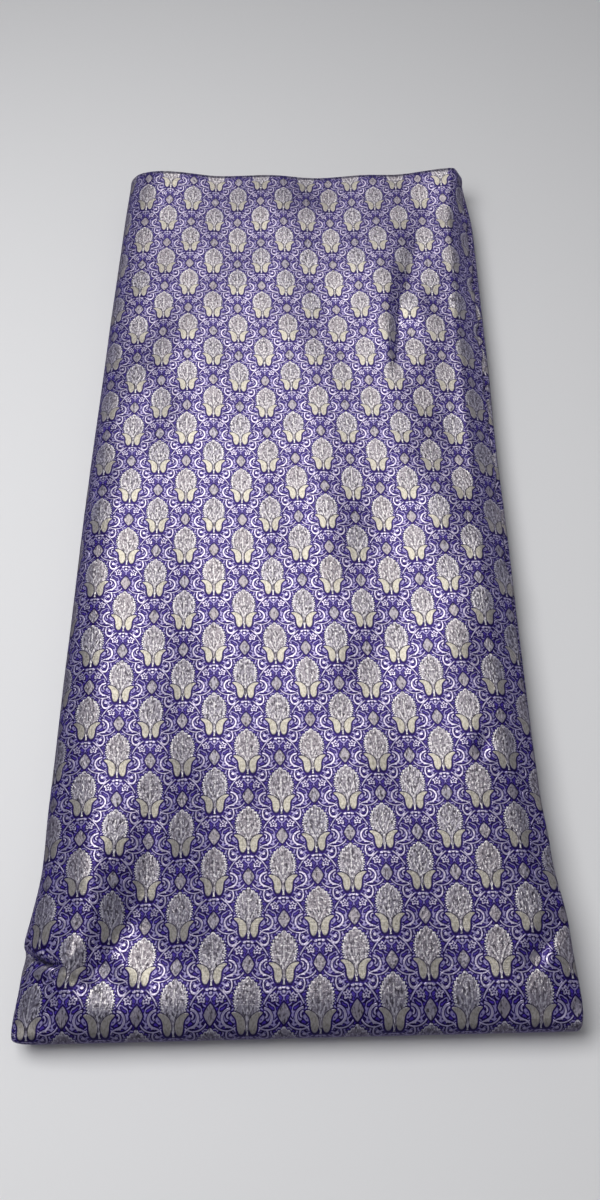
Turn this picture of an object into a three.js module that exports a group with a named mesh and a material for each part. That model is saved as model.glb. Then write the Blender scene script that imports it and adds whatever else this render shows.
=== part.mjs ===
// A length of silk brocade, folded and lying flat. The cloth is folded in four across its width, back and
// forth, and then in half along its length, with that last fold at the near end, towards -Y.
// Millimetres, +Z up, with the origin under the middle of the bundle.
import * as THREE from 'three';

// Driving dimensions
const LOOM_WIDTH = 1120; // selvedge to selvedge
const BUNDLE_WIDTH = 280; // a quarter of the loom width
const BUNDLE_HEIGHT = 28; // eight layers and the air between them
const NEAR_END = -349; // outside of the lengthwise fold
const FAR_END = 352; // loose ends of the upper half
const FAR_END_BELOW = 348; // loose ends of the lower half
const SHEET = 2; // the cloth with its raised figure
const LAYER_GAP = 1.75; // air between two layers
const FOLD_ROOM = 1; // room kept between the left-hand fold and the round outside it
const NOSE = 24; // depth of the lengthwise fold
const SIDE_ROUND = 11; // radius at which the outer layer turns down at the left
const EDGE_LIP = 1.2; // straight end of the outer layer below that round
const SIDE_HANG = 10; // how far that end hangs lower in the upper half
const HANG_START = 30; // distance behind the lengthwise fold where the edge begins to hang
const HANG_FULL = 110; // distance behind it where the edge hangs fully
const LOWER_INSET = 6; // how far the lower half stands back under the hanging edge
const SHOULDER = 22; // width of the slope down to the right-hand folds
const NEAR_SKEW = 3.5; // how much nearer the left end of the lengthwise fold lies than its middle
const END_BOW = 2; // how far the middle of the loose ends is drawn in
const SIDE_START = 0.75; // share of the half width where a dent in a side begins

// Half widths, shoulder drop and heights along the bundle. "upper" is the fold of the two outer layers at
// the right, "lower" is the fold of the two inner ones. The drop is a share of the upper half's height.
const OUTLINE = [
  { y: 352, left: 141, upper: 132, lower: 141.5, drop: 0.5, leftHigh: 30, midHigh: 24, rightHigh: 30.5 },
  { y: 290, left: 142, upper: 132, lower: 142, drop: 0.5, leftHigh: 28.5, midHigh: 26.5, rightHigh: 29 },
  { y: 160, left: 143, upper: 132, lower: 141, drop: 0.48, leftHigh: 27.5, midHigh: 28, rightHigh: 27.7 },
  { y: 10, left: 143.5, upper: 133, lower: 139.5, drop: 0.45, leftHigh: 27.5, midHigh: 28, rightHigh: 27.5 },
  { y: -120, left: 142.5, upper: 135.5, lower: 138, drop: 0.4, leftHigh: 27.5, midHigh: 28, rightHigh: 27.5 },
  { y: -215, left: 141.5, upper: 138, lower: 138.5, drop: 0.32, leftHigh: 28, midHigh: 28, rightHigh: 27.5 },
  { y: -255, left: 141, upper: 140, lower: 140, drop: 0.26, leftHigh: 28, midHigh: 28, rightHigh: 27.5 },
  { y: -300, left: 143.5, upper: 144.5, lower: 144.5, drop: 0.2, leftHigh: 27.5, midHigh: 28, rightHigh: 27.5 },
  { y: -350, left: 144, upper: 146.2, lower: 146.2, drop: 0.12, leftHigh: 27, midHigh: 27.5, rightHigh: 27 },
];

// Soft troughs, and ridges where the depth is negative: middle, half length, half width, turn from the
// length of the bundle towards +X in degrees, and depth.
const CREASES = [
  { name: 'far right trough', x: 82, y: 175, long: 70, wide: 12, turn: 6, depth: 2 },
  { name: 'near left trough', x: -77, y: -226, long: 40, wide: 12, turn: 1, depth: 2.6 },
  { name: 'bend of the trough', x: -84, y: -268, long: 28, wide: 12, turn: 14, depth: 3.6 },
  { name: 'corner of the trough', x: -101, y: -303, long: 18, wide: 12, turn: 43, depth: 3.8 },
  { name: 'near left ridge', x: -109, y: -262, long: 30, wide: 13, turn: 8, depth: -1.8 },
  { name: 'near left lump', x: -117, y: -315, long: 11, wide: 11, turn: 0, depth: -2 },
  { name: 'near left pinch', x: -133, y: -305, long: 16, wide: 9, turn: -61, depth: 4 },
  { name: 'near right pucker', x: 129, y: -308, long: 16, wide: 11, turn: 40, depth: 1.8 },
];

// Places where a side is pushed in, or stands out where the depth is negative.
const SIDE_DENTS = [
  { name: 'near left swell', side: -1, y: -288, reach: 14, depth: -3 },
  { name: 'near left pinch', side: -1, y: -307, reach: 8, depth: 1.5 },
  { name: 'right hollow', side: 1, y: 60, reach: 70, depth: 0.8 },
];

// Distances that follow from the driving dimensions
const MIDDLE = BUNDLE_HEIGHT / 2;
const PITCH = SHEET + LAYER_GAP;
const FOLD = PITCH / 2;
const OUTER = MIDDLE - SHEET / 2;
const SECOND = OUTER - PITCH;
const THIRD = SECOND - PITCH;
const INNER = THIRD - PITCH;
const EDGE = BUNDLE_WIDTH / 2 - SHEET / 2;
const RIGHT_FOLD = EDGE - FOLD;
const LEFT_FOLD = -EDGE + SIDE_ROUND - FOLD - FOLD_ROOM;
const ROUND_END = -EDGE + SIDE_ROUND;
const ROUND_START = OUTER - SIDE_ROUND;
const EDGE_REST = ROUND_START - EDGE_LIP;
const BEND = NEAR_END + NOSE;

// Facets: the shoulders are the parts of a layer with troughs and slopes
const LEFT_SHOULDER = -62;
const RIGHT_SHOULDER = 58;
const SHOULDER_STEPS = 5;
const MIDDLE_STEPS = 2;
const ROUND_STEPS = 5;
const FOLD_STEPS = 4;
const LIP_STEPS = 2;

const { clamp, degToRad, lerp, smoothstep } = THREE.MathUtils;

const line = (x1, d1, x2, d2) => new THREE.LineCurve(new THREE.Vector2(x1, d1), new THREE.Vector2(x2, d2));

const arc = (x, d, radius, from, to, clockwise) =>
  new THREE.EllipseCurve(x, d, radius, radius, degToRad(from), degToRad(to), clockwise);

// One layer of the section, with more steps over its shoulders than over its flat middle.
function layerRuns(from, to, d, fold) {
  const [first, second] = from < to ? [LEFT_SHOULDER, RIGHT_SHOULDER] : [RIGHT_SHOULDER, LEFT_SHOULDER];
  return [
    { curve: line(from, d, first, d), steps: SHOULDER_STEPS, fold },
    { curve: line(first, d, second, d), steps: MIDDLE_STEPS, fold },
    { curve: line(second, d, to, d), steps: SHOULDER_STEPS, fold },
  ];
}

// The section across the folded strip, from the free edge of the outer layer to that of the inner one.
// d is the distance from the middle plane. Each run says which right-hand fold it belongs to.
function sectionRuns() {
  const runs = [
    { curve: line(-EDGE, EDGE_REST, -EDGE, ROUND_START), steps: LIP_STEPS, fold: 'upper', hangs: true },
    { curve: arc(ROUND_END, ROUND_START, SIDE_ROUND, 180, 90, true), steps: ROUND_STEPS, fold: 'upper' },
    ...layerRuns(ROUND_END, RIGHT_FOLD, OUTER, 'upper'),
    { curve: arc(RIGHT_FOLD, OUTER - FOLD, FOLD, 90, -90, true), steps: FOLD_STEPS, fold: 'upper' },
    ...layerRuns(RIGHT_FOLD, LEFT_FOLD, SECOND, 'upper'),
    { curve: arc(LEFT_FOLD, SECOND - FOLD, FOLD, 90, 270, false), steps: FOLD_STEPS, fold: 'lower' },
    ...layerRuns(LEFT_FOLD, RIGHT_FOLD, THIRD, 'lower'),
    { curve: arc(RIGHT_FOLD, THIRD - FOLD, FOLD, 90, -90, true), steps: FOLD_STEPS, fold: 'lower' },
  ];
  const used = runs.reduce((sum, run) => sum + run.curve.getLength(), SIDE_HANG);
  const innerEdge = RIGHT_FOLD - (LOOM_WIDTH - used);
  return [...runs, ...layerRuns(RIGHT_FOLD, innerEdge, INNER, 'lower')];
}

// Points of the section, each with the direction that points out of the face of the cloth.
function sectionPoints() {
  const points = [];
  for (const { curve, steps, fold, hangs = false } of sectionRuns()) {
    for (let step = points.length ? 1 : 0; step <= steps; step += 1) {
      const place = curve.getPoint(step / steps);
      const way = curve.getTangent(step / steps);
      points.push({ x: place.x, d: place.y, outX: -way.y, outD: way.x, fold, hangs });
    }
  }
  return points;
}

// Stations along the cloth: back over the lower half, round the lengthwise fold and out over the upper
// half. The turn is 180 degrees below, 0 above.
function lengthStations() {
  const runs = [
    { from: FAR_END_BELOW, to: -220, turnFrom: 180, turnTo: 180, steps: 5 },
    { from: -220, to: BEND, turnFrom: 180, turnTo: 180, steps: 3 },
    { from: BEND, to: BEND, turnFrom: 180, turnTo: 0, steps: 8 },
    { from: BEND, to: -250, turnFrom: 0, turnTo: 0, steps: 7 },
    { from: -250, to: -180, turnFrom: 0, turnTo: 0, steps: 3 },
    { from: -180, to: 100, turnFrom: 0, turnTo: 0, steps: 4 },
    { from: 100, to: 250, turnFrom: 0, turnTo: 0, steps: 4 },
    { from: 250, to: FAR_END, turnFrom: 0, turnTo: 0, steps: 4 },
  ];
  const stations = [];
  for (const { from, to, turnFrom, turnTo, steps } of runs) {
    for (let step = stations.length ? 1 : 0; step <= steps; step += 1) {
      const share = step / steps;
      stations.push({ y: lerp(from, to, share), turn: degToRad(lerp(turnFrom, turnTo, share)) });
    }
  }
  return stations;
}

// A column of the outline table at a place along the bundle.
function outlineAt(y, column) {
  const last = OUTLINE.length - 1;
  let row = 0;
  while (row < last - 1 && OUTLINE[row + 1].y > y) {
    row += 1;
  }
  const [far, near] = [OUTLINE[row], OUTLINE[row + 1]];
  return lerp(far[column], near[column], smoothstep(far.y - y, 0, far.y - near.y));
}

// How much of the upper half a station belongs to: 1 above, 0 below.
const upperShare = (turn) => (1 + Math.cos(turn)) / 2;

// How far a point of the section hangs below its place: only the free edge of the outer layer does.
function hangBelow(point, station) {
  if (!point.hangs) {
    return 0;
  }
  const start = smoothstep(station.y - BEND, HANG_START, HANG_FULL);
  return SIDE_HANG * start * upperShare(station.turn) * ((ROUND_START - point.d) / EDGE_LIP);
}

// How far the sides are pushed in at a place along the bundle.
function sideDent(x, y) {
  const rows = SIDE_DENTS.filter(({ side }) => side * x > 0);
  return rows.reduce((sum, row) => sum + row.depth * Math.exp(-(((y - row.y) / row.reach) ** 2)), 0);
}

// Sideways place: the section is spread to the uneven outline of the bundle.
function sideways(share, y, point, above) {
  const inset = LOWER_INSET * (1 - above) * smoothstep(y - BEND, 0, HANG_START);
  const lower = outlineAt(y, 'lower');
  const upper = point.fold === 'upper' ? lerp(lower, outlineAt(y, 'upper'), above) : lower;
  const x = share * (share < 0 ? outlineAt(y, 'left') - inset : upper);
  return x - Math.sign(x) * above * sideDent(x, y) * smoothstep(Math.abs(share), SIDE_START, 1);
}

// Height of the upper face above the middle plane, as a share of its flat height.
function crown(x, y) {
  const share = clamp((2 * x) / BUNDLE_WIDTH, -1, 1);
  const side = outlineAt(y, share < 0 ? 'leftHigh' : 'rightHigh');
  let high = lerp(outlineAt(y, 'midHigh'), side, smoothstep(Math.abs(share), 0, 1));
  for (const row of CREASES) {
    const angle = degToRad(row.turn);
    const along = (x - row.x) * Math.sin(angle) + (y - row.y) * Math.cos(angle);
    const across = (x - row.x) * Math.cos(angle) - (y - row.y) * Math.sin(angle);
    high -= row.depth * Math.exp(-((along / row.long) ** 2) - (across / row.wide) ** 2);
  }
  const upper = outlineAt(y, 'upper');
  const slope = outlineAt(y, 'drop') * smoothstep(x, upper - SHOULDER, upper);
  return ((high - MIDDLE) / MIDDLE) * (1 - slope);
}

// Carries a point on one face of the cloth from the flat section to its place in the bundle.
function place(point, station, face) {
  const share = (point.x + (face * point.outX * SHEET) / 2) / (BUNDLE_WIDTH / 2);
  const d = point.d + (face * point.outD * SHEET) / 2 - hangBelow(point, station);
  const flatY = station.y - (NOSE / MIDDLE) * d * Math.sin(station.turn);
  const x = sideways(share, flatY, point, upperShare(station.turn));
  const bow = END_BOW * smoothstep(flatY, FAR_END / 2, FAR_END) * (1 - share * share);
  const skew = NEAR_SKEW * share * smoothstep(-flatY, -FAR_END, -NEAR_END);
  const rise = d * Math.cos(station.turn);
  return [x, flatY + skew - bow, MIDDLE + (rise > 0 ? rise * crown(x, flatY) : rise)];
}

// The flat cut length, folded: each point of a thin slab is carried to its place in the bundle.
function foldedCloth() {
  const section = sectionPoints();
  const stations = lengthStations();
  const [across, along] = [section.length - 1, stations.length - 1];
  const slab = new THREE.BoxGeometry(across, along, SHEET, across, along, 1);
  const position = slab.attributes.position;
  for (let i = 0; i < position.count; i += 1) {
    const point = section[Math.round(position.getX(i) + across / 2)];
    const station = stations[Math.round(position.getY(i) + along / 2)];
    position.setXYZ(i, ...place(point, station, Math.sign(position.getZ(i))));
  }
  slab.computeVertexNormals();
  return slab;
}

const silk = new THREE.MeshStandardMaterial({ color: 0x4b3a9e, roughness: 0.45, metalness: 0.15 });
const cloth = new THREE.Mesh(foldedCloth(), silk);
cloth.name = 'cloth';

const bundle = new THREE.Group();
bundle.add(cloth);

export default bundle;
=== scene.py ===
"""A length of figured silk, folded into a long flat bundle, and the studio that it lies in."""
import math

import bpy
import numpy as np
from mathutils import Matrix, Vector


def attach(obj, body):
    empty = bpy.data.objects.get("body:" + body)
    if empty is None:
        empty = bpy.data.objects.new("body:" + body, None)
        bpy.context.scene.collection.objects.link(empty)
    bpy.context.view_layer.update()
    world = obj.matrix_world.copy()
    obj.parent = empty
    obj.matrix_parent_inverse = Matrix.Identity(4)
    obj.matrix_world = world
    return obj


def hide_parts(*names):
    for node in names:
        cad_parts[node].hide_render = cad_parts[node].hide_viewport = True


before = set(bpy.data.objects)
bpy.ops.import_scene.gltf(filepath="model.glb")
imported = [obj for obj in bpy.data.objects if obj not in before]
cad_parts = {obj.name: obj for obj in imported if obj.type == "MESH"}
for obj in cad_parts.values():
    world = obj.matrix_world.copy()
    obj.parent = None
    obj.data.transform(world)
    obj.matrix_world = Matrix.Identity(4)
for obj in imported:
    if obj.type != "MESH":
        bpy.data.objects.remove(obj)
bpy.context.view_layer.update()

bl_info = {
    "name": "Folded brocade",
    "version": (1, 0, 0),
    "blender": (4, 5, 0),
    "location": "View3D > Sidebar > Brocade",
    "description": "Folds a length of figured silk and sets it in a plain studio",
    "category": "Object",
}

CLOTH_NODE = "cloth"
MM = 0.001
FLAT_MAP = "weave"
MAP_SPAN = 1500.0  # millimetres of cloth across the whole flat map
MAP_ORIGIN = (200.0, 1100.0)  # place on that map of the middle of the bundle's top

# Sizes of the bundle, in millimetres
BUNDLE_WIDTH = 280.0
BUNDLE_HEIGHT = 28.0
NEAR_END = -349.0
FAR_END = 352.0
FAR_END_BELOW = 348.0
LAYER_PITCH = 3.75  # from one layer to the next
NOSE = 24.0  # how far the rounded near fold stands out
SIDE_ROUND = 11.0  # radius of the left side's shoulder
EDGE_LIP = 1.2  # straight edge below that shoulder
SIDE_HANG = 10.0  # how much further down the selvedge hangs along most of the left side
HANG_START = 30.0  # how far behind the near fold it starts to hang
HANG_FULL = 110.0  # how far behind the near fold it hangs fully
LOWER_INSET = 6.0  # how far the lower half stays inside the left side
FOLD_ROOM = 1.5  # how far past the shoulder's start the inner left fold begins, besides its radius
LEFT_SHOULDER = 30.0  # width of the slope along the left side
NEAR_SKEW = 3.5  # how far the near end slants
END_BOW = 2.0  # how far the far end is hollowed in its middle
TROUGH_SPREAD = 7.0  # how much wider a trough is in the layers under the outer one

# Shares of those sizes
CORNER_FULLNESS = 0.06  # how squarely the nose meets the left side, 1 where it is an even oval
TOP_FULLNESS = 0.65  # how squarely the top turns down at the nose
NOSE_FULLNESS = 0.45  # how squarely the nose turns under
LEFT_DROP = 0.38  # how much of its height the top loses at the left side
TROUGH_SINK = 0.15  # how much deeper a trough is in the layers under the outer one
SIDE_START = 0.75  # share of the half width past which a side's dents show

# Distances that follow from those
MIDDLE = BUNDLE_HEIGHT / 2
BEND = NEAR_END + NOSE

# Steps of the section: the top's plain middle has fewer than its creased sides
TOP_MIDDLE = 60.0  # half width of that middle, in millimetres
LIP_STEPS = 4
CORNER_STEPS = 9
LEFT_STEPS = 40
MIDDLE_STEPS = 24
RIGHT_STEPS = 30
FOLD_STEPS = 7
LAYER_STEPS = 14

# A point of the section: its place, whether it is in the upper fold, its share of the selvedge's hang,
# its reach at the nose, and 1 where it is in a layer under the outer one
SECTION_COLUMNS = ("x", "level", "is_upper", "hang", "reach", "inner")

# Stretches along the cloth, from its end below, round the near fold, to its end above: where each starts
# and ends, its turn there in degrees, 180 below and 0 above, and its steps
STRETCH_COLUMNS = ("start", "end", "turn_start", "turn_end", "steps")
STRETCHES = (
    (FAR_END_BELOW, -220, 180, 180, 20),
    (-220, BEND, 180, 180, 12),
    (BEND, BEND, 180, 0, 24),
    (BEND, -282, 0, 0, 36),
    (-282, -180, 0, 0, 40),
    (-180, 90, 0, 0, 54),
    (90, 260, 0, 0, 50),
    (260, FAR_END, 0, 0, 28),
)

# Half widths, shoulder drop and heights along the bundle, a row for each place along it
OUTLINE_COLUMNS = ("y", "left", "upper", "lower", "shoulder", "drop", "left_high", "mid_high", "right_high")
OUTLINE = (
    (352, 141, 137, 138, 8, 0.5, 30, 24, 31),
    (290, 142, 137, 142, 16, 0.56, 28.5, 26.5, 29),
    (160, 143, 136, 141, 18, 0.56, 27.5, 28, 27.7),
    (10, 143.5, 135.5, 139.5, 18, 0.53, 27.5, 28, 27.5),
    (-120, 142.5, 136.5, 138.5, 18, 0.46, 27.5, 28, 27.5),
    (-215, 141.5, 138, 138.5, 18, 0.36, 28, 28, 27.5),
    (-255, 140.5, 140, 140, 18, 0.3, 28, 28, 27.5),
    (-300, 144.2, 144.5, 144.5, 16, 0.24, 27.5, 28, 27.5),
    (-350, 144.6, 146.2, 146.2, 14, 0.15, 27, 27.5, 27),
)

# Troughs, and ridges where the depth is negative, with the widths of their left and right slopes
CREASE_COLUMNS = ("x", "y", "long", "left", "right", "turn", "depth")
CREASES = (
    (86, 222, 55, 9, 9, 14, 2.4),  # far right trough, soft
    (73, 157, 30, 2.4, 15, 4, 4.0),  # its sharp fold
    (-76, -232, 40, 12, 34, 0, 3.8),  # near left trough
    (-79, -268, 24, 18, 36, 12, 4.4),  # its wide slope
    (-92, -294, 20, 11, 40, 26, 7.6),  # bend of the trough
    (-105, -314, 10, 5, 26, 45, 5.0),  # corner of the trough
    (-112, -266, 32, 12, 12, 4, -3.0),  # near left ridge
    (-131, -290, 12, 9, 9, 0, -3.0),  # bulge above the pinch
    (-117.5, -311, 9, 8, 7, 0, -4.5),  # near left lump
    (-133, -307, 14, 2.8, 2.4, -60, 10.0),  # near left pinch
    (-128, -319.5, 7, 2.4, 2.4, 54, 4.0),  # gap beside the lump
    (129, -308, 14, 5, 5, 40, 3.0),  # near right pucker
    (107, -191, 8, 4, 4, 20, 1.6),  # small pucker
)

# Slow waves of the top, each with its lengths across and along
RIPPLE_COLUMNS = ("across", "along", "start", "height")
RIPPLES = (
    (76, 800, 0.8, 0.85),
    (-130, 420, 2.2, 0.8),
    (210, 260, 0.3, 0.5),
    (95, 150, 1.9, 0.26),
    (-70, 110, 4.1, 0.2),
    (60, -85, 2.6, 0.15),
    (38, 60, 5.2, 0.08),
)

# Places where a side is pushed in, or stands out where the depth is negative
DENT_COLUMNS = ("side", "y", "reach", "depth")
SIDE_DENTS = (
    (-1, -297, 10, -0.6),
    (-1, -305, 6, 1.2),
    (-1, -346, 18, -1.6),
    (1, 60, 70, 0.8),
)

# Crumples of the upper fold's right edge, and where along it they come in
CRUMPLE_COLUMNS = ("length", "start", "depth")
CRUMPLES = (
    (53, 1.0, 0.8),
    (31, 0.4, 0.7),
    (17, 2.1, 0.45),
)
CRUMPLE_START = (-160.0, -40.0)

# Place, length, width and turn of the tuck where the cloth is pushed over the pinch, and how far
TUCK_PLACE = (-133.0, -307.0)
TUCK_LONG = 13.0
TUCK_WIDE = 5.0
TUCK_TURN = -60.0
TUCK_REACH = 7.0

# How far the weave is pulled across and along at places along the bundle
PULL_COLUMNS = ("y", "across", "along")
PULLS = (
    (-340, 8.6, 9.3),
    (-290, 8.2, 6.5),
    (-217, 6.0, 1.5),
    (-142, 2.5, -0.8),
    (200, -12.5, 2.5),
    (300, -15.5, 4.5),
    (352, -16.0, 8.0),
)


def rows(columns, table):
    """A table's rows as dictionaries by column name."""
    return [dict(zip(columns, row)) for row in table]


def smoothstep(value, low, high):
    """0 below low, 1 above high, and a smooth rise between them."""
    share = np.clip((value - low) / (high - low), 0.0, 1.0)
    return share * share * (3 - 2 * share)


def turned(x, y, place, degrees):
    """Distances along and across a line through a place, turned clockwise from the bundle's length."""
    angle = math.radians(degrees)
    dx, dy = x - place[0], y - place[1]
    return dx * math.sin(angle) + dy * math.cos(angle), dx * math.cos(angle) - dy * math.sin(angle)


def outline_at(y, column):
    """A column of the outline table at places along the bundle."""
    at = OUTLINE_COLUMNS.index(column)
    table = sorted(OUTLINE)
    found = np.full(np.shape(y), float(table[0][at]))
    for near, far in zip(table, table[1:]):
        found = found + (far[at] - near[at]) * smoothstep(y, near[0], far[0])
    return found


def line_run(x1, level1, x2, level2, steps):
    """Points on a straight run of the section."""
    return np.stack((np.linspace(x1, x2, steps + 1), np.linspace(level1, level2, steps + 1)), 1)


def arc_run(x, level, radius, start, end, steps):
    """Points on a round run of the section."""
    turn = np.radians(np.linspace(start, end, steps + 1))
    return np.stack((x + radius * np.cos(turn), level + radius * np.sin(turn)), 1)


def run_length(run):
    """Length of cloth in a run."""
    return np.linalg.norm(np.diff(run, axis=0), axis=1).sum()


def section_points(sheet, loom_width):
    """The back-and-forth section of half the bundle, from the selvedge to the innermost layer."""
    outer = MIDDLE - sheet / 2
    second, third, inner = (outer - LAYER_PITCH * count for count in (1, 2, 3))
    fold = LAYER_PITCH / 2
    edge = BUNDLE_WIDTH / 2 - sheet / 2
    right = edge - fold
    round_end = -edge + SIDE_ROUND
    left = round_end - fold - FOLD_ROOM
    round_start = outer - SIDE_ROUND
    lip = line_run(-edge, round_start - EDGE_LIP, -edge, round_start, LIP_STEPS)
    corner = arc_run(round_end, round_start, SIDE_ROUND, 180, 90, CORNER_STEPS)
    upper = [
        line_run(round_end, outer, -TOP_MIDDLE, outer, LEFT_STEPS),
        line_run(-TOP_MIDDLE, outer, TOP_MIDDLE, outer, MIDDLE_STEPS),
        line_run(TOP_MIDDLE, outer, right, outer, RIGHT_STEPS),
        arc_run(right, outer - fold, fold, 90, -90, FOLD_STEPS),
        line_run(right, second, left, second, LAYER_STEPS),
    ]
    lower = [
        arc_run(left, second - fold, fold, 90, 270, FOLD_STEPS),
        line_run(left, third, right, third, LAYER_STEPS),
        arc_run(right, third - fold, fold, 90, -90, FOLD_STEPS),
    ]
    used = SIDE_HANG + sum(run_length(run) for run in (lip, corner, *upper, *lower))
    lower.append(line_run(right, inner, right - (loom_width - used), inner, LAYER_STEPS))
    points = []
    for x, level in (*lip, *corner[1:]):
        hang = max(0.0, (round_start - level) / EDGE_LIP)
        reach = outer * (level / outer) ** CORNER_FULLNESS
        points.append((x, level, 1.0, hang, reach, 0.0))
    for runs, is_upper in ((upper, 1.0), (lower, 0.0)):
        for x, level in np.concatenate([run[1:] for run in runs]):
            points.append((x, level, is_upper, 0.0, level, min(1.0, (outer - level) / LAYER_PITCH)))
    return {name: column[:, None] for name, column in zip(SECTION_COLUMNS, np.array(points).T)}


def length_stations():
    """Places along the cloth, and the turn at each in radians."""
    stations = []
    for row in rows(STRETCH_COLUMNS, STRETCHES):
        for step in range(1 if stations else 0, row["steps"] + 1):
            share = step / row["steps"]
            turn = row["turn_start"] + (row["turn_end"] - row["turn_start"]) * share
            stations.append((row["start"] + (row["end"] - row["start"]) * share, math.radians(turn)))
    return np.array(stations).T


def side_dent(side, y):
    """How far a side is pushed in at places along the bundle."""
    dents = [row for row in rows(DENT_COLUMNS, SIDE_DENTS) if row["side"] == side]
    return sum(row["depth"] * np.exp(-(((y - row["y"]) / row["reach"]) ** 2)) for row in dents)


def crumple(y):
    """How far the upper fold's right edge is drawn in by its crumples."""
    table = rows(CRUMPLE_COLUMNS, CRUMPLES)
    waves = (row["depth"] * np.sin(2 * math.pi * y / row["length"] + row["start"]) for row in table)
    return sum(waves) * smoothstep(y, *CRUMPLE_START)


def sideways(share, y, is_upper, above):
    """Sideways place: the section is spread to the uneven outline of the bundle."""
    inset = LOWER_INSET * (1 - above) * smoothstep(y, BEND, BEND + HANG_START)
    lower = outline_at(y, "lower")
    upper = lower + (outline_at(y, "upper") - lower) * above * is_upper
    x = np.where(share < 0, share * (outline_at(y, "left") - inset), share * upper)
    dent = np.where(share < 0, -side_dent(-1, y), side_dent(1, y) + crumple(y) * is_upper)
    return x - above * dent * smoothstep(np.abs(share), SIDE_START, 1)


def creases(x, y, inner):
    """Depth of the troughs and ridges: inner layers have wider troughs and no ridges."""
    depth = 0.0
    for row in rows(CREASE_COLUMNS, CREASES):
        along, across = turned(x, y, (row["x"], row["y"]), row["turn"])
        wide = np.where(across < 0, row["left"], row["right"]) + TROUGH_SPREAD * inner
        share = 1 + TROUGH_SINK * inner if row["depth"] > 0 else 1 - inner
        depth = depth + row["depth"] * share * np.exp(-((along / row["long"]) ** 2) - (across / wide) ** 2)
    return depth


def ripples(x, y):
    """Height of the slow waves."""
    height = 0.0
    for row in rows(RIPPLE_COLUMNS, RIPPLES):
        wave = 2 * math.pi * (x / row["across"] + y / row["along"]) + row["start"]
        height = height + row["height"] * np.sin(wave)
    return height


def crown(x, y, inner):
    """Height of the upper face above the middle plane, as a share of its flat height."""
    share = np.clip(2 * x / BUNDLE_WIDTH, -1, 1)
    side = np.where(share < 0, outline_at(y, "left_high"), outline_at(y, "right_high"))
    middle = outline_at(y, "mid_high")
    high = middle + (side - middle) * smoothstep(np.abs(share), 0, 1) - creases(x, y, inner) + ripples(x, y)
    upper, left = outline_at(y, "upper"), outline_at(y, "left")
    slope = outline_at(y, "drop") * smoothstep(x, upper - outline_at(y, "shoulder"), upper)
    past = np.clip((LEFT_SHOULDER - left - x) / LEFT_SHOULDER, 0, 1)
    return (high - MIDDLE) / MIDDLE * (1 - slope) * (1 - LEFT_DROP * past * past)


def tuck_over(x, y):
    """How far the cloth above the pinch is pushed over it, sideways and along the bundle."""
    along, across = turned(x, y, TUCK_PLACE, TUCK_TURN)
    along, across = along / TUCK_LONG, np.maximum(across, 0) / TUCK_WIDE
    push = TUCK_REACH * across * np.exp(-(along**2) - across**2)
    angle = math.radians(TUCK_TURN)
    return -push * math.cos(angle), push * math.sin(angle)


def fold_places(section, stations):
    """Every point of the cloth's middle surface in the bundle, in millimetres."""
    station_y, turn = stations
    share = section["x"] / (BUNDLE_WIDTH / 2)
    above = (1 + np.cos(turn)) / 2
    hang = SIDE_HANG * above * smoothstep(station_y, BEND + HANG_START, BEND + HANG_FULL)
    fullness = np.where(above > 0.5, TOP_FULLNESS, NOSE_FULLNESS)
    flat_y = station_y - NOSE / MIDDLE * section["reach"] * np.sin(turn) ** fullness
    x = sideways(share, flat_y, section["is_upper"], above)
    bow = END_BOW * smoothstep(flat_y, FAR_END / 2, FAR_END) * (1 - share * share)
    skew = NEAR_SKEW * share * smoothstep(-flat_y, -FAR_END, -NEAR_END)
    rise = (section["level"] - section["hang"] * hang) * np.cos(turn)
    z = MIDDLE + np.where(rise > 0, rise * crown(x, flat_y, section["inner"]), rise)
    loose = above * (1 - section["inner"])
    push_x, push_y = tuck_over(x, flat_y)
    return np.stack((x + push_x * loose, flat_y + skew - bow + push_y * loose, z), 2)


def flat_places(places, section, stations):
    """Where each point lies on the flat cut, in millimetres from the middle of the bundle's top."""
    station_y, turn = stations
    is_outer = section["level"] > section["level"].max() - LAYER_PITCH / 2
    middle = int(np.argmin(np.where(is_outer, np.abs(section["x"]), np.inf)))
    start = int(np.argmin(np.where(turn > 0, np.inf, np.abs(station_y))))
    across = np.linalg.norm(np.diff(places, axis=0), axis=2).cumsum(0)
    across = np.vstack((np.zeros((1, places.shape[1])), across))
    along = np.linalg.norm(np.diff(places[middle], axis=0), axis=1).cumsum()
    along = np.concatenate(((0.0,), along))
    pulls = dict(zip(PULL_COLUMNS, np.array(PULLS).T))
    above_y = np.where(turn > 0, BEND, station_y)
    u = across - across[middle] - np.interp(above_y, pulls["y"], pulls["across"])
    v = along - along[start] + station_y[start] - np.interp(above_y, pulls["y"], pulls["along"])
    return np.stack((u, np.broadcast_to(v, u.shape)), 2)


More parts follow.
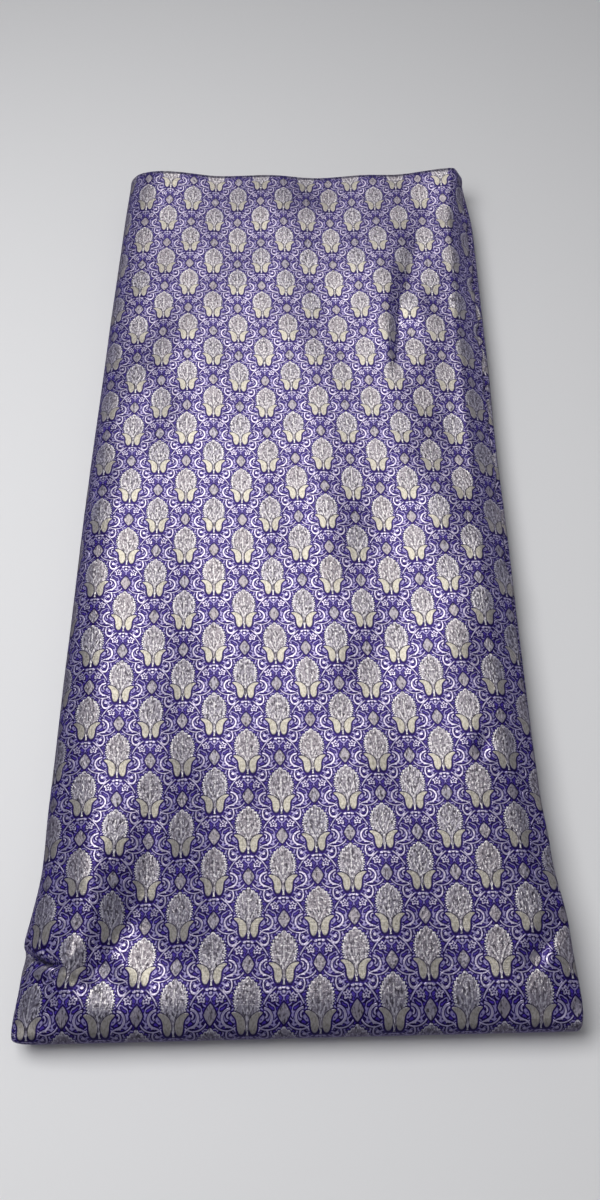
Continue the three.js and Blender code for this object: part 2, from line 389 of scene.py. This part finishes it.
class Wire:
    """A value in a material: an expression on it adds the Math nodes that work it out."""

    def __init__(self, weave, socket):
        self.weave = weave
        self.socket = socket

    def math(self, operation, *others):
        return self.weave.node("ShaderNodeMath", {"operation": operation}, dict(enumerate((self, *others))))

    def flipped(self, operation, other):
        return self.weave.node("ShaderNodeMath", {"operation": operation}, {0: other, 1: self})

    def __add__(self, other):
        return self.math("ADD", other)

    def __sub__(self, other):
        return self.math("SUBTRACT", other)

    def __mul__(self, other):
        return self.math("MULTIPLY", other)

    def __truediv__(self, other):
        return self.math("DIVIDE", other)

    def __rsub__(self, other):
        return self.flipped("SUBTRACT", other)

    def __abs__(self):
        return self.math("ABSOLUTE")

    __radd__ = __add__
    __rmul__ = __mul__

    def low(self, other):
        return self.math("MINIMUM", other)

    def high(self, other):
        return self.math("MAXIMUM", other)

    def wrap(self, span):
        """The value brought into the span that is centred on zero."""
        return self.math("WRAP", span / 2, -span / 2)

    def rise(self, low, high):
        """A smooth rise from 0 at low to 1 at high."""
        sockets = dict(enumerate((self, low, high, 0.0, 1.0)))
        return self.weave.node("ShaderNodeMapRange", {"interpolation_type": "SMOOTHSTEP"}, sockets)

    def inside(self):
        """A depth in millimetres as a mask with a soft woven edge."""
        return self.rise(-EDGE_SOFT, EDGE_SOFT)

    def shade_rim(self, out, width):
        """A mask of the line that runs round a shape, a little outside it, for painted shade as in a groove.
        """
        return (width / 2 - abs(self + out)).inside()

    def profile(self, low, high, top, stops):
        """A curve through stops, each a value between low and high and its level between 0 and top."""
        levels = [((at - low) / (high - low), level / top) for at, level in stops]
        share = (self - low) / (high - low)
        return self.weave.node("ShaderNodeValToRGB", {"stops": levels}, {0: share}) * top


class Weave:
    """The nodes of one material."""

    MIX_FACTOR, MIX_FIRST, MIX_SECOND, MIX_RESULT = 0, 6, 7, 2  # places of a Mix node's colour sockets
    GRAIN_ROUGHNESS = 0.55

    def __init__(self, name):
        self.material = bpy.data.materials.new(name)
        self.material.use_nodes = True
        self.nodes = self.material.node_tree.nodes
        self.links = self.material.node_tree.links
        self.nodes.clear()

    def node(self, kind, settings, sockets, output=0):
        """Adds a node, sets it up, then gives its sockets their values or links."""
        node = self.nodes.new(kind)
        for key, value in settings.items():
            if key == "stops":
                self.set_stops(node.color_ramp, value)
            else:
                setattr(node, key, value)
        for key, value in sockets.items():
            if isinstance(value, Wire):
                self.links.new(value.socket, node.inputs[key])
            else:
                node.inputs[key].default_value = value
        return Wire(self, node.outputs[output]) if node.outputs else None

    @staticmethod
    def set_stops(ramp, stops):
        """Gives a ramp its stops, each a place and a grey level, with a smooth curve through them."""
        ramp.interpolation = "CARDINAL"
        while len(ramp.elements) < len(stops):
            ramp.elements.new(1.0)
        for element, (place, level) in zip(ramp.elements, stops):
            element.position = place
            element.color = (level, level, level, 1.0)

    def tint(self, factor, first, second):
        """The first colour where the factor is 0, the second where it is 1."""
        first, second = (shade if isinstance(shade, Wire) else (*shade, 1.0) for shade in (first, second))
        sockets = {self.MIX_FACTOR: factor, self.MIX_FIRST: first, self.MIX_SECOND: second}
        return self.node("ShaderNodeMix", {"data_type": "RGBA"}, sockets, output=self.MIX_RESULT)

    def grain(self, place, across, along, detail):
        """Soft noise between 0 and 1, with the size of its grains across and along in millimetres."""
        sizes = (1 / across, 1 / along, 1.0)
        sized = self.node("ShaderNodeVectorMath", {"operation": "MULTIPLY"}, {0: place, 1: sizes})
        sockets = {"Vector": sized, "Scale": 1.0, "Detail": detail, "Roughness": self.GRAIN_ROUGHNESS}
        return self.node("ShaderNodeTexNoise", {"noise_dimensions": "2D"}, sockets)

    def chance(self, place):
        """A number between 0 and 1 for each place."""
        return self.node("ShaderNodeTexWhiteNoise", {"noise_dimensions": "2D"}, {0: place})

    def point(self, x, y):
        """A place from its two numbers."""
        return self.node("ShaderNodeCombineXYZ", {}, {0: x, 1: y})

    def axis(self, place, at):
        """One of a place's numbers."""
        return self.node("ShaderNodeSeparateXYZ", {}, {0: place}, output=at)

    def finish(self, sockets):
        """Closes the material with its shader, and gives it back."""
        shader = self.node("ShaderNodeBsdfPrincipled", {}, sockets)
        self.node("ShaderNodeOutputMaterial", {}, {"Surface": shader})
        return self.material


# The woven figure, in millimetres from the middle of its repeat, one half of it
EDGE_SOFT = 0.2
CONE_ENDS = (-15.2, 14.8)
CONE_PROFILE = (
    (-15.2, 1.1), (-13.8, 0.8), (-11.5, 1.5), (-9.0, 2.8), (-6.0, 4.3), (-3.0, 5.7), (0.0, 6.6),
    (3.0, 7.0), (5.5, 6.8), (8.0, 6.2), (10.0, 5.2), (12.0, 3.6), (13.5, 1.7), (14.8, 0.0),
)
CONE_FULL = 8.0
CONE_TEETH = 30.0
CONE_TOOTH = 1.0
TEETH_CENTRE = (0.0, 2.0)
BORDER_HALF = 0.5  # half width of the bright line inside the cone's edge
VEIN_HALF = 0.4
VEIN_ENDS = (-6.5, 2.5)
VEIN_SLANT = 0.42
STEM_ENDS = (-3.0, 9.0)
LEAF_BULB = (3.0, -9.4)
LEAF_BULB_HALF = (2.05, 5.0)
LEAF_BULB_LAP = 0.5
LEAF_TIP_CENTRE = (8.8, -9.2)
LEAF_TIP_RADIUS = 5.8
LEAF_TIP_TURN = (0.0, 1.6)
LEAF_TIP_END = 1.4
LEAF_TIP_TAPER = 6.0
LEAF_TIP_PROFILE = ((0.0, 2.05), (0.35, 1.95), (0.7, 1.6), (1.0, 1.2), (1.2, 0.85), (1.35, 0.45), (1.45, 0.0))
LEAF_TIP_FULL = 2.0
LOZENGE_UP = 21.2
LOZENGE_HALF = (3.2, 5.1)
LOZENGE_ROUND = 1.25
LOZENGE_DEPTH = 2.4
EYE = (10.4, 10.3)
EYE_HALF = (2.4, 3.9)
EYE_DEPTH = 3.0
FLOWER = (14.0, 3.8)
FLOWER_RADIUS = 1.7
FLOWER_PETALS = 5.0
FLOWER_WAVE = 0.45
LINE_HALF = 0.5  # half width of the eye's and the flower's line
ARC_COLUMNS = ("x", "y", "radius", "start", "end", "width")
ARCS = (
    (8.3, -5.8, 4.3, -80, 85, 1.1),  # crescent beside the leaf
    (9.6, -14.0, 4.0, 70, 165, 0.7),  # its foot, turned the other way
    (8.6, -4.6, 1.5, -60, 150, 0.7),  # curl of the leaf's tip
    (28.9, -8.2, 22.3, 122, 157, 0.65),  # tent line, beside the cone
    (-10.2, -33.5, 22.3, 36, 58, 0.65),  # tent line, below the cone
    (8.3, 20.1, 6.9, -157, -60, 0.65),  # garland, above the cone
    (10.4, -5.2, 6.9, -131, -23, 0.65),  # garland, below the crescent
)
SPOT_COLUMNS = ("x", "y", "radius")
SPOTS = (
    (0.0, -16.2, 1.1),
    (2.0, -16.9, 0.9),
    (0.0, -18.8, 0.8),
    (10.4, 10.3, 1.0),
    (14.0, 3.8, 0.6),
    (4.6, -21.2, 0.6),
)

# Grains of the threads: their size across and along in millimetres, and how finely they break up
CRINKLE = (1.0, 1.9, 1.0)
FOIL = (1.5, 2.3, 2.0)
STREAK = (1.6, 4.5, 1.0)
SLUB = (9.0, 0.5, 1.0)
FILLER = (3.2, 3.2, 0.0)

# Fine filling lines between the figures, along one level of the filler's noise
FILL_LEVEL = 0.5
FILL_HALF = 0.42
FILL_STEEPNESS = 5.0
FILL_SHARE = 0.55
FILL_GAP = 0.6  # ground left bare round the drawn lines
LINE_GAP = 0.95  # ground left bare round the solid shapes

# Painted shade round the shapes, as dark lines that stand for grooves: how far out they lie, and their width
LINE_SHADE = (0.45, 0.7)
SOLID_SHADE = (0.4, 0.7)
LEAF_SHADE = (0.25, 0.45)

# Levels of a grain between which a mask rises
FUZZ_RISE = (0.25, 0.55)
PAINTED_GLINT_RISE = (0.6, 0.7)
SHINE_RISE = (0.45, 0.8)
GOLD_RISE = (0.3, 0.6)
GROUND_RISE = (0.3, 0.75)
# Depths inside the cone's edge over which the painted sheen on the silver weakens towards its middle
CORE_RISE = (0.8, 4.5)  # millimetres inside the cone's edge

# Shares of each mask in the colour, the relief, the metal and the roughness
FUZZ_SHARE = 0.4
SOLID_SHADE_SHARE = 0.85
VEIN_SHARE = 0.7
PAINTED_GLINT_SHARE = 0.8
LINE_SHADE_SHARE = 0.8
SHADE_RIM_SHARE = 0.9
CRINKLE_SHINE = 0.7
STREAK_SHINE = 0.7
FIGURE_SHINE = 0.06
CORE_SHADE = 0.3
SOLID_RELIEF = 0.3
FOIL_RELIEF = 0.6
LEAF_CALM = 0.7
SLUB_RELIEF = 0.15
LINE_RELIEF = 0.35
SOLID_METAL = 0.74
LINE_METAL = 0.92
RIM_METAL = 0.9
SATIN_ROUGH = 0.31
SOLID_ROUGH = 0.05
SLUB_ROUGH = 0.05


def union(depths):
    """The depth inside any of several shapes."""
    first, *others = depths
    for depth in others:
        first = first.high(depth)
    return first


class Chart:
    """One half of the figure: each shape is a depth in millimetres, above zero inside it."""

    def __init__(self, x, y):
        self.x = x
        self.y = y

    def reach(self, x, y):
        """Distance from a point."""
        dx, dy = self.x - x, self.y - y
        return (dx * dx + dy * dy).math("SQRT")

    def turn(self, x, y):
        """Angle round a point."""
        return (self.y - y).math("ARCTAN2", self.x - x)

    def oval(self, place, half):
        """Distance from the middle of an oval, 1 at its edge."""
        dx, dy = (self.x - place[0]) / half[0], (self.y - place[1]) / half[1]
        return (dx * dx + dy * dy).math("SQRT")

    def between(self, ends):
        """Depth between two places along the figure."""
        return (self.y - ends[0]).low(ends[1] - self.y)

    def arc(self, x, y, radius, start, end, width):
        """A stretch of a round line, between two angles in degrees."""
        middle, half = math.radians((start + end) / 2), math.radians((end - start) / 2)
        past = abs((self.turn(x, y) - middle).wrap(2 * math.pi))
        return (width / 2 - abs(self.reach(x, y) - radius)).low((half - past) * radius)

    def cone(self):
        """The cone with its saw-toothed edge."""
        teeth = (self.turn(*TEETH_CENTRE) * CONE_TEETH).math("SINE") * (CONE_TOOTH / 2)
        wide = self.y.profile(*CONE_ENDS, CONE_FULL, CONE_PROFILE) - self.x + teeth
        return wide.low(self.between(CONE_ENDS))

    def veins(self):
        """A stem and two slanting veins inside the cone."""
        slant = (VEIN_HALF - abs(self.x - (self.y - VEIN_ENDS[0]) * VEIN_SLANT)).low(self.between(VEIN_ENDS))
        stem = (VEIN_HALF - self.x).low(self.between(STEM_ENDS))
        return slant.high(stem)

    def leaf(self):
        """The leaf below the cone: a bulb, and a tip that bends outwards."""
        bulb = (1.0 - self.oval(LEAF_BULB, LEAF_BULB_HALF)) * LEAF_BULB_HALF[0]
        bulb = bulb.low(LEAF_BULB[1] + LEAF_BULB_LAP - self.y)
        x, y = LEAF_TIP_CENTRE
        turn = (self.y - y).math("ARCTAN2", x - self.x)
        wide = turn.profile(*LEAF_TIP_TURN, LEAF_TIP_FULL, LEAF_TIP_PROFILE)
        tip = wide - abs(self.reach(x, y) - LEAF_TIP_RADIUS)
        tip = tip.low(turn * LEAF_TIP_RADIUS).low((LEAF_TIP_END - turn) * LEAF_TIP_TAPER)
        return bulb.high(tip)

    def scrolls(self):
        """Every drawn line: arcs, spots, an eye and a small flower."""
        shapes = [self.arc(**row) for row in rows(ARC_COLUMNS, ARCS)]
        shapes += [row["radius"] - self.reach(row["x"], row["y"]) for row in rows(SPOT_COLUMNS, SPOTS)]
        shapes.append(LINE_HALF - abs(self.oval(EYE, EYE_HALF) - 1.0) * EYE_DEPTH)
        petals = (self.turn(*FLOWER) * FLOWER_PETALS).math("SINE") * FLOWER_WAVE
        shapes.append(LINE_HALF - abs(self.reach(*FLOWER) - FLOWER_RADIUS - petals))
        return union(shapes)


def flat_place(weave, look):
    """Place on the flat cloth in millimetres, along the weft and along the warp."""
    start = (MAP_ORIGIN[0] + look.figure_across / MM, MAP_ORIGIN[1] + look.figure_along / MM)
    sockets = {
        "Vector": weave.node("ShaderNodeUVMap", {"uv_map": FLAT_MAP}, {}),
        "Location": (-start[0], -start[1], 0.0),
        "Scale": (MAP_SPAN, MAP_SPAN, 1.0),
    }
    return weave.node("ShaderNodeMapping", {"vector_type": "POINT"}, sockets)


def half_drop(weft, warp, across, along):
    """Place within the nearest figure of a half-drop repeat."""
    x, y = weft.wrap(across), warp.wrap(along)
    mid_x, mid_y = (weft - across / 2).wrap(across), (warp - along / 2).wrap(along)
    own = (abs(x) * (2 / across) + abs(y) * (2 / along)).math("LESS_THAN", 1.0)
    return mid_x + (x - mid_x) * own, mid_y + (y - mid_y) * own


def lozenges(weft, warp, across, along):
    """Depth inside the lozenge above each figure."""
    shapes = []
    for drop in (0.0, 0.5):
        x = abs((weft - across * drop).wrap(across))
        y = abs((warp - along * drop - LOZENGE_UP).wrap(along))
        wide, long = ((part / half).math("POWER", LOZENGE_ROUND) for part, half in zip((x, y), LOZENGE_HALF))
        shapes.append((1.0 - wide - long) * LOZENGE_DEPTH)
    return union(shapes)


class Figure:
    """The woven figure as masks from 0 to 1, and the grains of its threads."""

    def __init__(self, weave, look):
        across, along = look.repeat_across / MM, look.repeat_along / MM
        place = flat_place(weave, look)
        weft, warp = weave.axis(place, 0), weave.axis(place, 1)
        side, y = half_drop(weft, warp, across, along)
        chart = Chart(abs(side), y)
        self.crinkle, self.foil, self.streak, self.slub = (
            weave.grain(place, *sizes) for sizes in (CRINKLE, FOIL, STREAK, SLUB)
        )
        self.filler = weave.grain(weave.point(chart.x, chart.y), *FILLER)
        self.each = weave.chance(weave.point(weft - side, warp - y))
        self.fuzz = self.crinkle.rise(*FUZZ_RISE)
        solid_in = self.draw_solids(chart, lozenges(weft, warp, across, along))
        self.draw_lines(chart, solid_in)

    def draw_solids(self, chart, lozenge_in):
        """Cones, leaves and lozenges, the dark line of painted shade round them, and the bright border and
        painted glints on the silver. Gives back the depth inside them all.
        """
        cone_in, leaf_in = chart.cone(), chart.leaf()
        solid_in = cone_in.high(leaf_in).high(lozenge_in)
        self.solid, self.leaf = solid_in.inside(), leaf_in.inside()
        cone = cone_in.inside() * (1.0 - self.leaf)
        self.silver = cone.high(lozenge_in.inside())
        # Painted shade as in a groove round the shapes, and round the leaf inside the cone
        self.shade_rim = (solid_in.shade_rim(*SOLID_SHADE) * SOLID_SHADE_SHARE).high(leaf_in.shade_rim(*LEAF_SHADE) * cone)
        self.core = cone_in.rise(*CORE_RISE)
        border = (BORDER_HALF - abs(cone_in - BORDER_HALF)).inside()
        bright = border.high(chart.veins().inside() * VEIN_SHARE) * cone
        # Painted glints: bright specks of the border's colour scattered over the silver, added to its real
        # border and veins
        painted_glints = self.crinkle.rise(*PAINTED_GLINT_RISE) * cone
        self.bright = (bright * self.fuzz).high(painted_glints * PAINTED_GLINT_SHARE)
        return solid_in

    def draw_lines(self, chart, solid_in):
        """Scroll lines, the fine filling between them, and the dark line of painted shade beside both."""
        drawn_in = chart.scrolls()
        filling_in = (FILL_HALF - abs(self.filler - FILL_LEVEL) * FILL_STEEPNESS).low(-FILL_GAP - drawn_in)
        clear = (-LINE_GAP - solid_in).inside()
        drawn = drawn_in.inside()
        # The lines thin out at random where the weave breaks up, partly real and partly painted sheen:
        # threads that catch the light beside threads in shade
        broken_weave_and_sheen = (1.0 - FUZZ_SHARE) + self.fuzz * FUZZ_SHARE
        self.raised = drawn * clear
        self.lines = drawn.high(filling_in.inside() * FILL_SHARE) * clear * broken_weave_and_sheen
        # Painted shade as in a groove beside the lines
        self.line_shade = drawn_in.high(filling_in).shade_rim(*LINE_SHADE) * clear

    def colour(self, weave, look):
        """Ground, lines, silver, bright border, gold and dark lines round the shapes, each laid over the one
        before. The ground carries painted sheen, the silver painted sheen, shade and glints, the gold painted
        shade, and the dark lines are painted shade.
        """
        # Painted sheen and shade on the silver: a noise mask, weaker towards the cone's middle, picks between
        # the silver in light and its painted shade in the crinkles
        shine = self.crinkle * CRINKLE_SHINE + self.streak * STREAK_SHINE + self.each * FIGURE_SHINE
        shine = shine.rise(*SHINE_RISE) * (1.0 - self.core * CORE_SHADE)
        silver = weave.tint(self.each, look.silver, look.silver_warm)
        silver = weave.tint(shine, look.silver_painted_shade, silver)
        # Painted shade on the gold leaf, deeper in its crinkles
        gold = weave.tint(self.crinkle.rise(*GOLD_RISE), look.gold_painted_shade, look.gold)
        # The ground is lighter over the slubs of its weave and deeper between them: the slubs are real, and
        # the lighter patches are painted sheen
        colour = weave.tint(self.slub.rise(*GROUND_RISE), look.ground_slub_and_shade, look.ground)
        # Painted shade beside the lines
        colour = weave.tint(self.line_shade * LINE_SHADE_SHARE, colour, look.painted_groove_shade)
        colour = weave.tint(self.lines, colour, look.thread)
        colour = weave.tint(self.silver, colour, silver)
        # The cone's bright border and veins, with the painted glints
        colour = weave.tint(self.bright, colour, look.border)
        colour = weave.tint(self.leaf, colour, gold)
        # Painted shade round the solid shapes
        return weave.tint(self.shade_rim * SHADE_RIM_SHARE, colour, look.painted_groove_shade)

    def relief(self):
        """Height of the threads above the ground."""
        crumpled = self.foil * (self.solid - self.leaf * LEAF_CALM) * FOIL_RELIEF
        return self.solid * SOLID_RELIEF + crumpled + self.slub * SLUB_RELIEF + self.raised * LINE_RELIEF

    def metal(self):
        """How far each thread shines as metal does."""
        dark = self.shade_rim.high(self.line_shade * (1.0 - self.lines))
        return (self.solid * SOLID_METAL).high(self.lines * LINE_METAL).high(dark * RIM_METAL)


def brocade(look):
    """Violet satin with a figure of silver cones, pale gold leaves and fine lilac scrolls."""
    weave = Weave("brocade")
    figure = Figure(weave, look)
    bump = {"Strength": 0.8, "Distance": 0.0007, "Height": figure.relief()}
    sockets = {
        "Base Color": figure.colour(weave, look),
        "Metallic": figure.metal(),
        "Roughness": SATIN_ROUGH + figure.solid * SOLID_ROUGH + figure.slub * SLUB_ROUGH,
        "Normal": weave.node("ShaderNodeBump", {}, bump),
        "Sheen Weight": 0.08,
        "Sheen Roughness": 0.4,
        "Sheen Tint": (0.75, 0.7, 1.0, 1.0),
        "Specular IOR Level": 0.3,
        "Specular Tint": (0.72, 0.64, 1.0, 1.0),
    }
    return weave.finish(sockets)


def floor_finish(look):
    """Plain pale floor."""
    weave = Weave("pale_floor")
    return weave.finish({"Base Color": (*look.floor, 1.0), "Roughness": 0.9, "Specular IOR Level": 0.0})


def length_prop(name, description, default):
    return bpy.props.FloatProperty(name=name, description=description, default=default, unit="LENGTH")


def angle_prop(name, description, degrees):
    turn = math.radians(degrees)
    return bpy.props.FloatProperty(name=name, description=description, default=turn, unit="ROTATION")


def colour_prop(name, description, default):
    return bpy.props.FloatVectorProperty(
        name=name, description=description, default=default, size=3, min=0.0, max=1.0, subtype="COLOR"
    )


class ClothSettings(bpy.types.PropertyGroup):
    """Cut and thickness of the cloth."""

    loom_width: length_prop("Loom width", "Width of the cloth, selvedge to selvedge", 1.12)
    cut_length: length_prop("Cut length", "Length of the cut", 1.4)
    sheet: length_prop("Thickness", "Thickness of the cloth with its raised figure", 0.0013)


class FigureSettings(bpy.types.PropertyGroup):
    """Repeat and colours of the woven figure."""

    repeat_across: length_prop("Repeat across", "Distance between figures along the weft", 0.03733)
    repeat_along: length_prop("Repeat along", "Distance between figures along the warp", 0.0505)
    figure_across: length_prop("Figure across", "Sideways place of the middle figure", 0.0035)
    figure_along: length_prop("Figure along", "Lengthwise place of the middle figure", 0.0095)
    # Satin ground, lighter with painted sheen over its slubs, and a deeper copy between them
    ground: colour_prop("Ground", "Satin ground in light", (0.039, 0.018, 0.27))
    ground_slub_and_shade: colour_prop("Ground, deep", "Satin ground between its threads", (0.021, 0.01, 0.16))
    thread: colour_prop("Thread", "Fine scroll lines", (0.42, 0.39, 0.59))
    # Painted light and shade on the silver thread: its colour in light, and a deeper copy for the painted
    # shade in its crinkles
    silver: colour_prop("Silver", "Silver thread in light", (0.27, 0.258, 0.36))
    silver_warm: colour_prop("Silver, warm", "Silver thread of a warmer figure", (0.27, 0.248, 0.32))
    silver_painted_shade: colour_prop("Silver, deep", "Silver thread in its crinkles", (0.055, 0.05, 0.075))
    # Bright teeth round the cone, whose colour also paints the glints on the silver
    border: colour_prop("Border", "Bright teeth round the cone", (0.52, 0.51, 0.62))
    # Pale gold leaf, and a deeper copy for the painted shade in its crinkles
    gold: colour_prop("Gold", "Pale gold leaf", (0.33, 0.315, 0.33))
    gold_painted_shade: colour_prop("Gold, deep", "Pale gold leaf in its crinkles", (0.24, 0.226, 0.225))
    # Painted shade: the dark line that stands for the grooves round the figure and its lines
    painted_groove_shade: colour_prop("Contour", "Dark line round the figure", (0.006, 0.004, 0.018))


class StudioSettings(bpy.types.PropertyGroup):
    """Floor, air and camera."""

    floor: colour_prop("Floor", "Pale floor", (0.80, 0.80, 0.81))
    air: colour_prop("Air", "Light from all round", (0.19, 0.19, 0.197))
    camera_place: bpy.props.FloatVectorProperty(
        name="Camera",
        description="Place of the camera",
        default=(0.0015, -0.519, 0.642),
        subtype="TRANSLATION",
    )
    camera_dip: angle_prop("Camera dip", "Angle of the view below level", 54.8)
    camera_lens: bpy.props.FloatProperty(
        name="Lens", description="Focal length on a 36 mm frame", default=36.0, unit="CAMERA"
    )


GRID_SIZE = 2.0


def flat_grid(across, along):
    """A flat grid of the cloth's steps across and along, as the one selected object."""
    bpy.ops.object.select_all(action="DESELECT")
    bpy.ops.mesh.primitive_grid_add(x_subdivisions=across, y_subdivisions=along, size=GRID_SIZE)
    return bpy.context.active_object


def lay_out(cloth, places, flat):
    """Carries each point of the flat grid to its place in the folds, and keeps its flat place as a map."""
    mesh = cloth.data
    steps = np.array(places.shape[:2]) - 1
    grid = np.empty(len(mesh.vertices) * 3)
    mesh.vertices.foreach_get("co", grid)
    share = grid.reshape(-1, 3)[:, :2] / GRID_SIZE + 0.5
    i, j = np.rint(share * steps).astype(int).T
    mesh.vertices.foreach_set("co", (places[i, j] * MM).ravel())
    corner = np.empty(len(mesh.loops), dtype=int)
    mesh.loops.foreach_get("vertex_index", corner)
    spread = (flat[i, j] + np.array(MAP_ORIGIN)) / MAP_SPAN
    layer = mesh.uv_layers.active
    layer.name = FLAT_MAP
    layer.uv.foreach_set("vector", spread[corner].ravel().astype(np.float32))
    mesh.update()


class BROCADE_OT_fold_cloth(bpy.types.Operator):
    """Fold the cut length in four across its width and in half along its length"""

    bl_idname = "brocade.fold_cloth"
    bl_label = "Fold the cloth"

    def execute(self, context):
        cut = context.scene.brocade_cloth
        section = section_points(cut.sheet / MM, cut.loom_width / MM)
        stations = length_stations()
        places = fold_places(section, stations)
        cloth = flat_grid(places.shape[0] - 1, places.shape[1] - 1)
        cloth.name = "silk_brocade"
        lay_out(cloth, places, flat_places(places, section, stations))
        thick = cloth.modifiers.new("thickness", "SOLIDIFY")
        thick.thickness = cut.sheet
        thick.offset = 0.0
        bpy.ops.object.modifier_apply(modifier=thick.name)
        bpy.ops.object.shade_smooth()
        cloth.data.materials.append(brocade(context.scene.brocade_figure))
        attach(cloth, "root")
        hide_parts(CLOTH_NODE)
        return {"FINISHED"}


FLOOR_SIZE = 30.0
FILM_WIDTH = 36.0

# Soft lights, in metres and watts, each facing the bundle: the first falls on it and on the floor, and the
# others only glint in its threads
LIGHT_COLUMNS = ("name", "place", "size", "power", "shade", "glint")
LIGHTS = (
    ("key_softbox", (-0.45, -0.1, 1.1), (0.9, 0.9), 12.0, (1.0, 1.0, 1.0), False),
    ("glint_softbox", (-0.1, 1.15, 1.65), (0.8, 1.4), 25.0, (1.0, 0.97, 0.74), True),
    ("left_glint", (-1.8, -1.5, 0.9), (2.6, 1.2), 12.0, (1.0, 0.98, 0.85), True),
    ("right_glint", (1.8, -1.5, 0.9), (2.6, 1.2), 12.0, (1.0, 0.98, 0.85), True),
    ("back_left_glint", (-1.9, 1.7, 0.85), (1.8, 0.9), 4.5, (1.0, 1.0, 1.0), True),
    ("back_right_glint", (1.9, 1.7, 0.85), (1.8, 0.9), 3.5, (1.0, 1.0, 1.0), True),
)


def add_softbox(name, place, size, power, shade, glint):
    """A soft rectangular light that faces the bundle, for even light or for the glint alone."""
    bpy.ops.object.light_add(type="AREA", location=place)
    light = bpy.context.active_object
    light.name = name
    light.data.shape = "RECTANGLE"
    light.data.size, light.data.size_y = size
    light.data.energy = power
    light.data.color = shade
    light.visible_diffuse = not glint
    light.visible_glossy = glint
    light.rotation_euler = (-Vector(place)).to_track_quat("-Z", "Y").to_euler()


def lay_floor(look):
    """The pale floor, kept out of the cloth's shine and bounce so that its folds stay deep in shade."""
    bpy.ops.object.select_all(action="DESELECT")
    bpy.ops.mesh.primitive_plane_add(size=FLOOR_SIZE)
    floor = bpy.context.active_object
    floor.name = "floor"
    floor.data.materials.append(floor_finish(look))
    floor.visible_glossy = False
    floor.visible_diffuse = False


def fill_air(look):
    """Even light from all round."""
    world = bpy.data.worlds.new("studio_air")
    world.use_nodes = True
    world.node_tree.nodes["Background"].inputs["Color"].default_value = (*look.air, 1.0)
    bpy.context.scene.world = world


def set_camera(look):
    """The camera above and in front of the near fold, looking down along the bundle."""
    bpy.ops.object.camera_add(location=look.camera_place)
    camera = bpy.context.active_object
    camera.name = "camera"
    camera.rotation_euler = (math.pi / 2 - look.camera_dip, 0.0, 0.0)
    camera.data.lens = look.camera_lens
    camera.data.sensor_width = FILM_WIDTH
    bpy.context.scene.camera = camera


class BROCADE_OT_set_studio(bpy.types.Operator):
    """Lay the pale floor and set the lights and the camera"""

    bl_idname = "brocade.set_studio"
    bl_label = "Set the studio"

    def execute(self, context):
        look = context.scene.brocade_studio
        lay_floor(look)
        fill_air(look)
        for row in rows(LIGHT_COLUMNS, LIGHTS):
            add_softbox(**row)
        set_camera(look)
        context.scene.view_settings.view_transform = "Standard"
        return {"FINISHED"}


SETTINGS = {
    "brocade_cloth": ClothSettings,
    "brocade_figure": FigureSettings,
    "brocade_studio": StudioSettings,
}
STEPS = (BROCADE_OT_fold_cloth, BROCADE_OT_set_studio)


class BROCADE_PT_panel(bpy.types.Panel):
    """Settings and steps of the folded brocade"""

    bl_idname = "BROCADE_PT_panel"
    bl_label = "Folded brocade"
    bl_space_type = "VIEW_3D"
    bl_region_type = "UI"
    bl_category = "Brocade"

    def draw(self, context):
        for name, kind in SETTINGS.items():
            box = self.layout.box()
            for setting in kind.__annotations__:
                box.prop(getattr(context.scene, name), setting)
        for step in STEPS:
            self.layout.operator(step.bl_idname)


CLASSES = (*SETTINGS.values(), *STEPS, BROCADE_PT_panel)


def register():
    for kind in CLASSES:
        bpy.utils.register_class(kind)
    for name, kind in SETTINGS.items():
        setattr(bpy.types.Scene, name, bpy.props.PointerProperty(type=kind))


def unregister():
    for name in SETTINGS:
        delattr(bpy.types.Scene, name)
    for kind in reversed(CLASSES):
        bpy.utils.unregister_class(kind)


def main():
    register()
    bpy.ops.brocade.fold_cloth()
    bpy.ops.brocade.set_studio()


if __name__ == "__main__":
    main()
